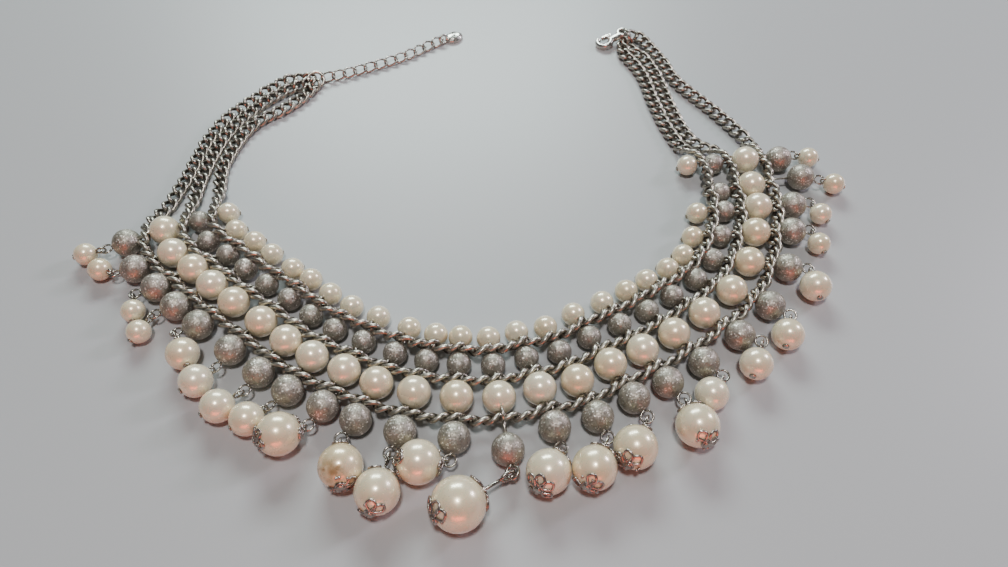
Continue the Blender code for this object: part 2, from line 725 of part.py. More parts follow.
def main():
    for item in list(bpy.data.objects):
        bpy.data.objects.remove(item)
    pearl = material("pearl", PEARL_COLOUR, 0.25, 0.0)
    stardust = material("stardust", STARDUST_COLOUR, 0.55, 0.8)
    metal = material("antique_metal", METAL_COLOUR, 0.4, 1.0)
    clasp_metal = material("clasp_metal", CLASP_COLOUR, 0.3, 1.0)

    necklace = bpy.data.objects.new("necklace", None)
    bpy.context.collection.objects.link(necklace)
    bib = Bib()
    all_three = (metal, pearl, stardust)
    row_on_chain("inner_row", necklace, bib.inner_feet,
                 bib.route(INNER_LEFT, bib.inner_feet, INNER_RIGHT),
                 [(bib.a, SMALL_PEARL, 4, (1, 0), MISSING_INNER_PEARL, None),
                  (bib.b, SMALL_STARDUST, 4, (2, 0), None, None)], all_three)
    row_on_chain("middle_row", necklace, bib.middle_feet,
                 bib.route(MIDDLE_LEFT, bib.middle_feet, MIDDLE_RIGHT),
                 [(bib.c, MEDIUM_PEARL, 5, (1, 0), None, None)], all_three)
    row_on_chain("outer_row", necklace, bib.outer_feet,
                 bib.route(OUTER_LEFT, bib.outer_feet, OUTER_RIGHT),
                 [(bib.d, LARGE_STARDUST, 4, (2, 0), None, bib.eyes)], all_three)
    for k, column in enumerate(COLUMNS):
        name = f"drop_{k + 1:02d}"
        mesh = drop_mesh(name, bib.eyes[k], bib.drops[k], LARGE_STARDUST / 2, DROP[column.size],
                         column.size in CAPPED)
        add_object(name, mesh, necklace, pearl, metal)

    left = Vector((bib.inner_feet[0].x, bib.inner_feet[0].y, 0))
    right = Vector((bib.inner_feet[-1].x, bib.inner_feet[-1].y, 0))
    build_extender(necklace, left, metal)
    build_clasp(necklace, right, clasp_metal)
    centre_on_base(necklace)


main()
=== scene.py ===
"""Looks of the bib necklace: round beads, real chain links, wire eyes, pierced caps and clasp.

Metres, +Z up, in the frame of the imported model. The necklace lies on z = 0 with its free
ends towards +Y. Pieces are meshes worked out from the same sizes and table of columns as
the solids, and rings, links and tag take their places from the frame's own nodes.
"""

import math
from collections import namedtuple

import bmesh
import bpy
import numpy as np
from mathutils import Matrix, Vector


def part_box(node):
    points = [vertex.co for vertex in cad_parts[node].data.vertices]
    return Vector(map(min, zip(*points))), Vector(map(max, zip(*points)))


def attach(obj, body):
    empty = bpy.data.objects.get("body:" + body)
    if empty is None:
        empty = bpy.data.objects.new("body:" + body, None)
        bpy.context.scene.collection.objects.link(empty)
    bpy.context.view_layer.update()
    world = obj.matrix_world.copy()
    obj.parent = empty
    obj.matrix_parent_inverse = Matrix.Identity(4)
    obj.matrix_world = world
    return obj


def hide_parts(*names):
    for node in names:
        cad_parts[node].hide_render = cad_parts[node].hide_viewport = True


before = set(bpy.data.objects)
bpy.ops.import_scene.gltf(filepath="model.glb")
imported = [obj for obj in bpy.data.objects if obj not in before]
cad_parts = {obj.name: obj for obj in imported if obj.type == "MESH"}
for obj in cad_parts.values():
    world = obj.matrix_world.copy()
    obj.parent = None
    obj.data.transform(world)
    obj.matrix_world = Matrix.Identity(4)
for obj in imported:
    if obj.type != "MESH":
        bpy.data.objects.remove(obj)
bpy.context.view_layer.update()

MM = 0.001
BODY = "necklace"
LEVER_BODY = "lever"
SEED = 11

# Sizes and table that the solids have too
SMALL_PEARL = 6.0 * MM
SMALL_STARDUST = 6.0 * MM
MEDIUM_PEARL = 8.0 * MM
LARGE_STARDUST = 7.5 * MM
DROP = {"s": 6.0 * MM, "m": 8.0 * MM, "l": 10.0 * MM, "x": 12.0 * MM}
CAPPED = "lx"
CHAIN = 1.8 * MM
CLEAR = 0.3 * MM
SLOT = CHAIN + 2 * CLEAR
INNER_ROW_GAP = 1.6 * MM
INNER_REACH = 0.9 * MM
EYE = 1.9 * MM
CHAIN_LIFT = 0.1 * MM
CLIMB = 14.0 * MM
FAN = 1.12
LEFT_RING_AT = (18.7 * MM, 62.4 * MM)

# Each column: step and run along the inner chain, hang of its pins, fall of the large
# stardust bead, headings of its eye and drop, reach of the drop's eye, and drop size
Column = namedtuple("Column", "step run hang fall eye drop reach size")
COLUMNS = [
    Column(1.02, -61, -155, 0.0, -159, -165, 1.2, "s"),
    Column(1.00, -36, -149, 0.0, -165, 157, 0.9, "s"),
    Column(0.96, -39, -144, 0.0, -160, -77, 1.1, "s"),
    Column(1.09, -38, -140, 0.0, -155, -117, 1.3, "s"),
    Column(0.96, -34, -138, 0.0, -158, -60, 1.8, "m"),
    Column(1.03, -39, -126, 0.0, -118, -133, 0.6, "m"),
    Column(0.99, -33, -120, 0.0, -118, -141, 1.3, "m"),
    Column(1.07, -25, -116, 0.0, -132, -142, 0.7, "m"),
    Column(1.15, -23, -112, 0.0, -120, -155, 0.7, "l"),
    Column(0.99, -15, -112, 0.0, -121, -80, 1.1, "l"),
    Column(0.93, -7, -104, 0.0, -110, -100, 2.3, "l"),
    Column(1.00, -2, -91, 0.0, -98, -174, 0.9, "l"),
    Column(1.02, 14, -81, 1.5, -80, -146, 4.1, "x"),
    Column(1.03, 12, -72, 0.0, -78, -118, 0.8, "l"),
    Column(1.11, 29, -66, 0.0, -70, -116, 1.8, "l"),
    Column(1.13, 26, -62, 0.0, -62, -116, 2.0, "l"),
    Column(1.05, 29, -60, 0.0, -52, -79, 1.3, "l"),
    Column(0.99, 33, -53, 0.0, -41, -128, 1.2, "m"),
    Column(1.05, 35, -40, 0.0, -18, -115, 1.7, "m"),
    Column(1.01, 48, -27, 0.0, -33, -112, 1.2, "m"),
    Column(1.08, 64, -10, 0.0, -2, -90, 1.1, "m"),
    Column(1.23, 74, 3, 0.0, 8, -75, 0.9, "s"),
    Column(0.87, 89, 5, 0.0, 12, -62, 0.7, "s"),
    Column(1.64, 90, 13, 2.9, -10, -14, 0.5, "s"),
    Column(0.00, 0, 4, 0.0, 20, -7, 0.6, "s"),
]
MISSING_INNER_PEARL = 24

# Chosen points of the chains' routes, in millimetres from the first column's foot on the
# left and from the last column's foot on the right, each from its ring to the bib
INNER_LEFT = [
    (18.2, 59.0), (15.9, 54.9), (13.0, 51.0), (9.9, 47.6), (6.2, 44.8), (2.9, 41.6),
    (0.5, 37.2), (-1.2, 32.2), (-2.4, 26.7), (-3.1, 21.2), (-2.5, 15.4), (-1.3, 9.2)]
MIDDLE_LEFT = [
    (15.6, 60.5), (12.9, 59.1), (9.5, 57.2), (6.1, 54.0), (2.9, 50.3), (-0.2, 45.7),
    (-3.2, 40.7), (-5.2, 35.5), (-6.6, 30.2), (-7.5, 24.2), (-8.2, 17.6), (-8.4, 11.1),
    (-8.1, 4.6)]
OUTER_LEFT = [
    (15.3, 63.3), (12.2, 63.6), (8.7, 62.2), (5.6, 59.2), (2.4, 55.5), (-0.9, 51.4),
    (-4.5, 46.5), (-7.6, 41.2), (-9.7, 35.6), (-10.9, 30.1), (-11.8, 22.6), (-12.9, 15.1),
    (-14.8, 6.4), (-17.5, -1.6)]
INNER_RIGHT = [
    (-16.9, 60.9), (-17.1, 57.1), (-16.3, 54.2), (-13.9, 49.6), (-12.2, 44.6), (-11.2, 39.6),
    (-10.4, 33.6), (-9.5, 27.8), (-8.1, 21.2), (-6.4, 14.9), (-4.5, 9.4), (-2.1, 5.2)]
MIDDLE_RIGHT = [
    (-14.6, 60.1), (-13.1, 56.9), (-11.0, 54.0), (-9.1, 49.6), (-7.7, 44.6), (-6.8, 39.6),
    (-6.0, 34.2), (-5.1, 28.6), (-4.0, 23.0), (-2.6, 17.2), (-0.7, 12.0), (2.9, 8.6),
    (6.1, 5.8)]
OUTER_RIGHT = [
    (-14.4, 63.9), (-13.0, 66.6), (-10.8, 65.2), (-8.6, 61.0), (-6.1, 55.8), (-4.1, 50.2),
    (-2.7, 45.0), (-0.5, 39.6), (3.1, 34.2), (6.9, 28.8), (10.5, 23.0), (13.9, 17.0),
    (16.5, 11.4), (18.0, 7.0)]

# The curb chain's links
LINK_PITCH = 3.2 * MM
LINK_LENGTH = 5.2 * MM
LINK_WIDTH = 4.4 * MM
LINK_WIRE = 1.18 * MM
LINK_TWIST = math.radians(-45)
LINK_SQUARENESS = 2.4
LINK_STEPS = 26
LINK_SIDES = 8
LINK_JITTER = 4.0
END_JITTER = 16.0
END_REACH = 9.0 * MM
SCALLOP = 0.7 * MM
BIB_ROLL = 116
INNER_ROLLS = (-10, -14)
MIDDLE_ROLLS = (-14, -16)
OUTER_ROLLS = (-18, -18)
ROUTE_SAMPLES = 6000
LINK_SHADE = 0.6

# Wires and heads
EYE_WIRE = 0.55 * MM
BESIDE = 2 * EYE_WIRE
EYE_LOOP = 1.45 * MM
DROP_LOOP = 0.95 * MM
LONGEST_LOOP = 3.4 * MM
CHAIN_LOOP = 0.95 * MM
LOOP_SINK = 0.5 * MM
LOOP_SHIFT = 0.3 * MM
WIRE_SIDES = 8
LOOP_STEPS = 22
LOOP_OPENING = 18
EYE_TILT = 30
EYE_TURN = math.radians(85)
HEAD = 0.85 * MM
HEAD_HEIGHT = 0.35 * MM
HEAD_SIDES = 14
HOLE = 0.45 * MM

# A drop whose eye reaches further than this hangs on thicker wire, hooked over the chain
LONG_PIN = 3.0
LONG_PIN_WIRE = 0.85 * MM
HOOK_LIFT = 1.6 * MM

# Flower caps
PETALS = 5
PETAL_STEPS = 26
PETAL_FROM = math.radians(11)
PETAL_TO = math.radians(37)
PETAL_SPREAD = math.radians(33)
PETAL_POINT = math.radians(5)
PETAL_POINT_WIDTH = 0.4
PETAL_TAPER = 0.34
COLLAR_STEPS = 16
CAP_SIDES = 6
CAP_WIRE = 0.6 * MM
CAP_SHADE = 0.35
GRANULE = 0.36 * MM
GRANULE_AT = math.radians(27)

# Rings, extender, tag and clasp
LEFT_RING_WIRE = 1.15 * MM
RIGHT_RING_WIRE = 1.0 * MM
EXTENDER_WIRE = 0.68 * MM
RING_STEPS = 36
RING_SHADE = 0.2
CAST_SWELL = 0.14 * MM
TAG_VOXEL, TAG_ROUNDS = 0.12 * MM, 6
BODY_VOXEL, LEVER_VOXEL, CLASP_ROUNDS = 0.1 * MM, 0.08 * MM, 3

# The clasp lever's hinge in the model's frame, and its rivet
LEVER_PIVOT = np.array((45.568, 85.756, 1.342)) * MM
LEVER_AXIS = np.array((-0.20639, -0.09624, 0.97373))
RIVET = 0.3 * MM
RIVET_SIDES = 12

# Beads
PEARL_RINGS = 22
PEARL_SIDES = 30
GRAIN = 0.006 * MM
GRAIN_LEVEL = 5
GLITTER_TILT = 0.3
GLITTER_SCALE = 3300

# Stains on one drop: way from its middle, reach as a share of its radius, and strength
STAINED_DROP = 10
Stain = namedtuple("Stain", "way reach strength")
STAINS = [
    Stain((-0.51, -0.47, 0.72), 0.13, 1.0),
    Stain((0.05, -0.44, 0.92), 0.17, 1.0),
    Stain((0.13, -0.36, 0.93), 0.13, 1.0),
    Stain((-0.02, -0.46, 0.88), 0.50, 0.45),
    Stain((-0.40, -0.70, 0.60), 1.05, 0.55),
]

# Camera, floor and lights; each light looks at the middle of the necklace
Lamp = namedtuple("Lamp", "name location size power tint spread")
CAMERA_AT = (8.42 * MM, -140.25 * MM, 157.5 * MM)
CAMERA_PITCH = 37
CAMERA_LENS = 26.43
FLOOR_HALF = 3.0
FLOOR_DROP = 0.02 * MM

LIGHTS = [
    Lamp("window", (-0.1, 0.75, 0.55), (0.55, 0.22), 9, (0.84, 1.0, 0.98), 180),
    Lamp("overhead", (0.0, -0.19, 0.9), (0.12, 0.12), 5, (1.0, 0.98, 0.95), 180),
    Lamp("side", (0.8, 0.35, 0.44), (0.16, 0.16), 4, (0.92, 0.87, 1.0), 180),
    Lamp("fill", (0.05, -0.9, 0.16), (0.75, 0.22), 0.65, (1.0, 0.17, 0.09), 80),
]
SKY = (0.78, 0.82, 0.88, 1.0)
SKY_STRENGTH = 0.12

# Colours
PEARL_CREAM = (0.88, 0.775, 0.565, 1.0)
PEARL_YELLOW = (0.80, 0.64, 0.39, 1.0)
PEARL_CLOUD = (0.87, 0.745, 0.60, 1.0)
STAIN_BROWN = (0.30, 0.16, 0.045, 1.0)
STARDUST_WARM = (0.35, 0.32, 0.265, 1.0)
STARDUST_ROSE = (0.37, 0.315, 0.275, 1.0)
# Painted shade: dark colour painted onto some stardust grains, as if they lay in shadow
PAINTED_GRAIN_SHADE = (0.17, 0.145, 0.125, 1.0)
# Painted highlight: colour of the glints painted onto the brightest stardust grains
PAINTED_GLINT = (0.95, 0.88, 0.80, 1.0)
FLOOR_GREY = (0.42, 0.42, 0.43, 1.0)

rng = np.random.default_rng(SEED)


# Mesh making

class Shape:
    """Vertices and faces gathered for one piece, with a slot a face and a shade a vertex."""

    def __init__(self):
        self.verts = []
        self.faces = []
        self.slots = []
        self.shades = []
        self.count = 0

    def add(self, mesh, slot=0, shade=0.0):
        verts, faces = mesh
        self.verts.append(verts)
        self.faces += [tuple(index + self.count for index in face) for face in faces]
        self.slots += [slot] * len(faces)
        self.shades.append(np.broadcast_to(np.asarray(shade, float), (len(verts),)))
        self.count += len(verts)

    def build(self, name, materials, slot_name, body=BODY):
        """The shape as one object that rides its body, the necklace unless told otherwise."""
        mesh = bpy.data.meshes.new(name)
        mesh.from_pydata(np.concatenate(self.verts).tolist(), [], self.faces)
        mesh.polygons.foreach_set("material_index", self.slots)
        shade = mesh.attributes.new("shade", "FLOAT", "POINT")
        shade.data.foreach_set("value", np.concatenate(self.shades).astype(np.float32))
        for made in materials:
            mesh.materials.append(made)
        mesh.shade_smooth()
        mesh.update()
        piece = bpy.data.objects.new(name, mesh)
        bpy.context.scene.collection.objects.link(piece)
        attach(piece, body)
        return piece


def unit(vector):
    return vector / np.linalg.norm(vector)


def aim(axis, roll=0.0):
    """A turn that takes +X to the axis, +Y level, and then rolls about the axis."""
    axis = unit(np.asarray(axis, float))
    level = np.cross((0.0, 0.0, 1.0), axis)
    level = unit(level) if np.linalg.norm(level) > 1e-6 else np.array((0.0, 1.0, 0.0))
    up = np.cross(axis, level)
    side = level * math.cos(roll) + up * math.sin(roll)
    return np.column_stack((axis, side, np.cross(axis, side)))


def put(mesh, origin, turn):
    """The mesh turned and then moved to its origin."""
    verts, faces = mesh
    return verts @ turn.T + np.asarray(origin), faces


def grid_faces(rows, columns, wrap_rows):
    """Quads of a tube-like grid, whose columns always wrap."""
    faces = []
    for k in range(rows if wrap_rows else rows - 1):
        near, far = k * columns, (k + 1) % rows * columns
        for j in range(columns):
            step = (j + 1) % columns
            faces.append((near + j, near + step, far + step, far + j))
    return faces


def end_fans(rings, sides):
    """Triangles from a grid's first and last ring to the two points that follow its rings."""
    last, tip = (rings - 1) * sides, rings * sides
    faces = [(j, tip, (j + 1) % sides) for j in range(sides)]
    return faces + [(last + (j + 1) % sides, tip + 1, last + j) for j in range(sides)]


def tube(path, radius, sides, closed=False):
    """A round wire along a path, its ends filled with a rounded tip."""
    path = np.asarray(path, float)
    if closed:
        tangents = np.roll(path, -1, 0) - np.roll(path, 1, 0)
    else:
        tangents = np.gradient(path, axis=0)
    tangents /= np.linalg.norm(tangents, axis=1)[:, None]
    normals = np.zeros_like(path)
    normals[0] = aim(tangents[0])[:, 1]
    for k in range(1, len(path)):
        normals[k] = unit(normals[k - 1] - tangents[k] * normals[k - 1].dot(tangents[k]))
    if closed:
        carried = unit(normals[-1] - tangents[0] * normals[-1].dot(tangents[0]))
        turn = math.atan2(np.cross(normals[0], carried).dot(tangents[0]), normals[0].dot(carried))
        angles = -turn * np.arange(len(path)) / len(path)
        across = np.cross(tangents, normals)
        normals = normals * np.cos(angles)[:, None] + across * np.sin(angles)[:, None]
    across = np.cross(tangents, normals)
    turns = 2 * math.pi * np.arange(sides) / sides
    rings = (path[:, None] + radius * (np.cos(turns)[None, :, None] * normals[:, None]
                                       + np.sin(turns)[None, :, None] * across[:, None]))
    verts = rings.reshape(-1, 3)
    faces = grid_faces(len(path), sides, closed)
    if not closed:
        tips = [path[0] - tangents[0] * radius / 2, path[-1] + tangents[-1] * radius / 2]
        verts = np.vstack((verts, tips))
        faces += end_fans(len(path), sides)
    return verts, faces


def lathe(profile, sides):
    """A closed solid of revolution about X from its (x, radius) profile."""
    turns = 2 * math.pi * np.arange(sides) / sides
    rings = [np.column_stack((np.full(sides, x), r * np.cos(turns), r * np.sin(turns)))
             for x, r in profile]
    verts = np.vstack(rings + [[(profile[0][0], 0, 0), (profile[-1][0], 0, 0)]])
    faces = grid_faces(len(profile), sides, False) + end_fans(len(profile), sides)
    return verts, [face[::-1] for face in faces]


def icosphere(radius, level):
    """A round ball of even triangles."""
    bm = bmesh.new()
    bmesh.ops.create_icosphere(bm, subdivisions=level, radius=radius)
    verts = np.array([vert.co for vert in bm.verts])
    faces = [tuple(vert.index for vert in face.verts) for face in bm.faces]
    bm.free()
    return verts, faces


# Layout of the bib, as the solids have it

def heading(degrees, length=1.0):
    angle = math.radians(degrees)
    return np.array((math.cos(angle), math.sin(angle), 0.0)) * length


def valley_height(upper, lower, across_upper, across_lower):
    """The height at which a chain rests between two rows of beads of these diameters."""
    heights = []
    for diameter, across in ((upper, across_upper), (lower, across_lower)):
        reach = diameter / 2 + CLEAR + CHAIN / 2
        heights.append(diameter / 2 + math.sqrt(max(0.0, reach ** 2 - across ** 2)))
    return max(heights)


Place = namedtuple("Place", "inner middle outer a b c d eye drop")


def place_columns(first_foot):
    """Where each column's beads, eye and drop lie, and its feet on the three chains."""
    pitch = max(SMALL_PEARL + INNER_ROW_GAP, (MEDIUM_PEARL + CLEAR) / FAN)
    above = SMALL_PEARL / 2 + INNER_REACH
    below = SMALL_STARDUST / 2 + INNER_REACH
    small_to_chain = SMALL_STARDUST / 2 + SLOT / 2
    chain_to_medium = MEDIUM_PEARL / 2 + SLOT / 2
    chain_to_large = LARGE_STARDUST / 2 + SLOT / 2
    inner_z = valley_height(SMALL_PEARL, SMALL_STARDUST, above, below)
    middle_z = valley_height(SMALL_STARDUST, MEDIUM_PEARL, small_to_chain, chain_to_medium)
    outer_z = valley_height(MEDIUM_PEARL, LARGE_STARDUST, chain_to_medium, chain_to_large)
    middle_at = below + small_to_chain
    medium_at = middle_at + chain_to_medium
    outer_at = medium_at + chain_to_medium
    up = np.array((0.0, 0.0, 1.0))
    places = []
    foot = first_foot
    for column in COLUMNS:
        out = heading(column.hang)
        large_at = outer_at + chain_to_large + column.fall * EYE
        large = foot + out * large_at + up * LARGE_STARDUST / 2
        eye = large + heading(column.eye, LARGE_STARDUST / 2 + EYE)
        size = DROP[column.size]
        drop = eye + heading(column.drop, column.reach * EYE + size / 2)
        drop[2] = size / 2
        places.append(Place(foot + up * inner_z,
                            foot + out * middle_at + up * middle_z,
                            foot + out * outer_at + up * outer_z,
                            foot - out * above + up * SMALL_PEARL / 2,
                            foot + out * below + up * SMALL_STARDUST / 2,
                            foot + out * medium_at + up * MEDIUM_PEARL / 2,
                            large, eye, drop))
        foot = foot + heading(column.run, column.step * pitch)
    return places


def smooth_route(points):
    """A function of 0 to len(points) - 1 that runs smoothly through the points."""
    ends = [points[0] * 2 - points[1]] + list(points) + [points[-1] * 2 - points[-2]]

    def at(where):
        k = min(int(where), len(points) - 2)
        t = where - k
        a, b, c, d = ends[k:k + 4]
        return 0.5 * (2 * b + (c - a) * t + (2 * a - 5 * b + 4 * c - d) * t * t
                      + (3 * b - a - 3 * c + d) * t * t * t)
    return at


def upper_points(chosen, anchor, foot, ring):
    """One upper stretch of a chain, from its ring onto the table and up to its first foot."""
    rest = CHAIN / 2 + CHAIN_LIFT
    points = [ring]
    for x, y in chosen:
        point = np.array((anchor[0] + x * MM, anchor[1] + y * MM, rest))
        level = math.hypot(foot[0] - point[0], foot[1] - point[1])
        climb = max(0.0, 1 - level / CLIMB)
        point[2] = rest + (foot[2] - rest) * climb * climb * (3 - 2 * climb)
        points.append(point)
    return points


# Materials

def principled(name):
    made = bpy.data.materials.new(name)
    made.use_nodes = True
    return made, made.node_tree, made.node_tree.nodes["Principled BSDF"]


def add_node(tree, kind, settings=None, **inputs):
    """A node with settings as properties and inputs as values or links."""
    node = tree.nodes.new(kind)
    for key, value in (settings or {}).items():
        setattr(node, key, value)
    for key, value in inputs.items():
        socket = node.inputs[key.replace("_", " ")]
        if isinstance(value, bpy.types.NodeSocket):
            tree.links.new(value, socket)
        else:
            socket.default_value = value
    return node


def mixed(tree, factor, first, second):
    """A colour mixed from two, by a factor socket or number."""
    mix = tree.nodes.new("ShaderNodeMix")
    mix.data_type = "RGBA"
    for index, value in ((0, factor), (6, first), (7, second)):
        if isinstance(value, bpy.types.NodeSocket):
            tree.links.new(value, mix.inputs[index])
        else:
            mix.inputs[index].default_value = value
    return mix.outputs[2]


def ramp(tree, factor, low, high, from_value=0.0, to_value=1.0):
    """A number ramped from one span to another."""
    node = add_node(tree, "ShaderNodeMapRange", Value=factor)
    node.inputs["From Min"].default_value = low
    node.inputs["From Max"].default_value = high
    node.inputs["To Min"].default_value = from_value
    node.inputs["To Max"].default_value = to_value
    return node.outputs["Result"]


def noise(tree, where, scale, detail):
    node = add_node(tree, "ShaderNodeTexNoise", Vector=where, Scale=scale, Detail=detail)
    return node.outputs["Fac"]


def bumped(tree, height, strength, distance):
    node = add_node(tree, "ShaderNodeBump", Height=height, Strength=strength, Distance=distance)
    return node.outputs["Normal"]


def object_place(tree):
    return tree.nodes.new("ShaderNodeTexCoord").outputs["Object"]


def shade_of(tree):
    node = tree.nodes.new("ShaderNodeAttribute")
    node.attribute_name = "shade"
    return node.outputs["Fac"]


def pearl_material(name, stains=()):
    """Cream pearl lustre over a warm core; the shade makes one pearl yellower than another."""
    made, tree, shader = principled(name)
    where = object_place(tree)
    base = mixed(tree, shade_of(tree), PEARL_CREAM, PEARL_YELLOW)
    cloud = ramp(tree, noise(tree, where, 230, 2.0), 0.38, 0.68, 0.0, 0.4)
    base = mixed(tree, cloud, base, PEARL_CLOUD)
    patchy = ramp(tree, noise(tree, where, 700, 4.0), 0.3, 0.62)
    for centre, reach, strength in stains:
        away = add_node(tree, "ShaderNodeVectorMath", {"operation": "DISTANCE"})
        tree.links.new(where, away.inputs[0])
        away.inputs[1].default_value = centre
        near = ramp(tree, away.outputs["Value"], reach, reach * 0.35, 0.0, strength)
        worn = add_node(tree, "ShaderNodeMath", {"operation": "MULTIPLY"})
        tree.links.new(near, worn.inputs[0])
        tree.links.new(patchy, worn.inputs[1])
        base = mixed(tree, worn.outputs["Value"], base, STAIN_BROWN)
    tree.links.new(base, shader.inputs["Base Color"])
    rough = ramp(tree, noise(tree, where, 500, 2.0), 0.3, 0.7, 0.22, 0.32)
    tree.links.new(rough, shader.inputs["Roughness"])
    shader.inputs["Metallic"].default_value = 0.25
    shader.inputs["Subsurface Weight"].default_value = 0.1
    shader.inputs["Subsurface Radius"].default_value = (1.0, 0.6, 0.4)
    shader.inputs["Subsurface Scale"].default_value = 1.2 * MM
    shader.inputs["Coat Weight"].default_value = 0.75
    shader.inputs["Coat Roughness"].default_value = 0.06
    shader.inputs["Specular IOR Level"].default_value = 0.6
    waves = bumped(tree, noise(tree, where, 420, 1.0), 0.02, 0.1 * MM)
    tree.links.new(waves, shader.inputs["Normal"])
    return made


def stardust_material():
    """Warm grey metal covered with a fine glitter grain, each grain tilted its own way; bright
    glints and dark grains are painted into its colour as painted highlights and painted shade.
    """
    made, tree, shader = principled("stardust")
    where = object_place(tree)
    flake = add_node(tree, "ShaderNodeTexVoronoi", Vector=where, Scale=GLITTER_SCALE)
    split = add_node(tree, "ShaderNodeSeparateColor", Color=flake.outputs["Color"])
    # Painted highlight: the brightest grains get a glint colour painted into the base colour
    painted_glint = ramp(tree, split.outputs["Red"], 0.86, 0.98, 0.0, 0.9)
    tint = ramp(tree, noise(tree, where, 190, 2.0), 0.4, 0.65)
    base = mixed(tree, tint, STARDUST_WARM, STARDUST_ROSE)
    # Painted shade: some grains are painted darker, as if shaded in hollows between the glitter
    painted_grain_shade = ramp(tree, split.outputs["Blue"], 0.0, 0.4, 0.5, 0.0)
    base = mixed(tree, painted_grain_shade, base, PAINTED_GRAIN_SHADE)
    base = mixed(tree, painted_glint, base, PAINTED_GLINT)
    tree.links.new(base, shader.inputs["Base Color"])
    shader.inputs["Metallic"].default_value = 0.75
    rough = ramp(tree, split.outputs["Green"], 0, 1, 0.38, 0.62)
    tree.links.new(rough, shader.inputs["Roughness"])
    tilt = add_node(tree, "ShaderNodeVectorMath", {"operation": "MULTIPLY_ADD"})
    tree.links.new(flake.outputs["Color"], tilt.inputs[0])
    tilt.inputs[1].default_value = (GLITTER_TILT,) * 3
    tilt.inputs[2].default_value = (-GLITTER_TILT / 2,) * 3
    face = tree.nodes.new("ShaderNodeNewGeometry")
    tilted = add_node(tree, "ShaderNodeVectorMath", {"operation": "ADD"})
    tree.links.new(tilt.outputs["Vector"], tilted.inputs[0])
    tree.links.new(face.outputs["Normal"], tilted.inputs[1])
    even = add_node(tree, "ShaderNodeVectorMath", {"operation": "NORMALIZE"})
    tree.links.new(tilted.outputs["Vector"], even.inputs[0])
    tree.links.new(even.outputs["Vector"], shader.inputs["Normal"])
    return made


def antique_material(name, low, high, roughness):
    """Antique silver: darker where the shade says that a face looks inwards, and mottled."""
    made, tree, shader = principled(name)
    low, high = low + (1.0,), high + (1.0,)
    where = object_place(tree)
    patches = ramp(tree, noise(tree, where, 520, 5.0), 0.38, 0.66)
    tarnish = mixed(tree, ramp(tree, patches, 0, 1, 0.0, 0.45), high, low)
    base = mixed(tree, ramp(tree, shade_of(tree), 0.25, 1.0, 0.0, 0.75), tarnish, low)
    tree.links.new(base, shader.inputs["Base Color"])
    shader.inputs["Metallic"].default_value = 0.95
    rough = ramp(tree, noise(tree, where, 1500, 4.0), 0.3, 0.7, roughness - 0.08, roughness + 0.12)
    tree.links.new(rough, shader.inputs["Roughness"])
    scratches = bumped(tree, noise(tree, where, 3600, 4.0), 0.18, 0.05 * MM)
    tree.links.new(scratches, shader.inputs["Normal"])
    return made


def floor_material():
    made, tree, shader = principled("floor")
    shader.inputs["Base Color"].default_value = FLOOR_GREY
    where = object_place(tree)
    rough = ramp(tree, noise(tree, where, 3, 2.0), 0, 1, 0.34, 0.46)
    tree.links.new(rough, shader.inputs["Roughness"])
    return made


PEARL = pearl_material("pearl")
STARDUST = stardust_material()
CHAIN_METAL = antique_material("chain_metal", (0.05, 0.04, 0.032), (0.52, 0.475, 0.41), 0.32)
EXTENDER_METAL = antique_material("extender_metal", (0.05, 0.043, 0.038), (0.50, 0.46, 0.41),
                                  0.28)
CAP_METAL = antique_material("cap_metal", (0.07, 0.04, 0.035), (0.52, 0.45, 0.41), 0.28)
WIRE_METAL = antique_material("wire_metal", (0.13, 0.115, 0.10), (0.46, 0.42, 0.37), 0.25)
CLASP_METAL = antique_material("clasp_metal", (0.26, 0.24, 0.21), (0.70, 0.67, 0.62), 0.24)


# Beads, wires and caps

def pearl_mesh(radius):
    """A pearl about X with a drilled hole at each end."""
    lip = math.asin(HOLE / radius)
    angles = np.linspace(lip, math.pi - lip, PEARL_RINGS)
    end = -math.cos(lip) * radius
    half = [(end + HOLE, HOLE * 0.8), (end + HOLE / 4, HOLE * 0.95)]
    profile = half + [(-math.cos(a) * radius, math.sin(a) * radius) for a in angles]
    profile += [(-x, r) for x, r in reversed(half)]
    return lathe(profile, PEARL_SIDES)


def stardust_mesh(radius):
    """A ball whose surface is roughened by a fine seeded grain."""
    verts, faces = icosphere(radius, GRAIN_LEVEL)
    lengths = 1 + np.clip(rng.normal(0, GRAIN, len(verts)), -2 * GRAIN, 2 * GRAIN) / radius
    return verts * lengths[:, None], faces


def random_turn():
    """A seeded turn in any direction."""
    axis = unit(rng.normal(size=3))
    return aim(axis, rng.uniform(0, 2 * math.pi))


def loop_wire(start, centre, across, radius, length=0.0, wire=EYE_WIRE):
    """A wire from a bead's hole to a loop round its centre, whose axis is across.

    A length over the loop's own makes it an oval along the wire.
    """
    way = unit(centre - start)
    side = unit(np.cross(across, way))
    along = max(radius, length / 2)
    path = [start, start + (centre - way * along - start) * 0.7]
    for k in range(LOOP_STEPS + 1):
        angle = math.pi + math.radians(360 - LOOP_OPENING) * k / LOOP_STEPS
        path.append(centre + way * math.cos(angle) * along + side * math.sin(angle) * radius)
    return tube(path, wire / 2, WIRE_SIDES)


def head_mesh():
    """A headpin's low domed head about X, its flat side at the origin."""
    profile = [(0, HEAD * 0.85), (HEAD_HEIGHT * 0.3, HEAD), (HEAD_HEIGHT * 0.7, HEAD * 0.85),
               (HEAD_HEIGHT, HEAD * 0.4)]
    return lathe(profile, HEAD_SIDES)


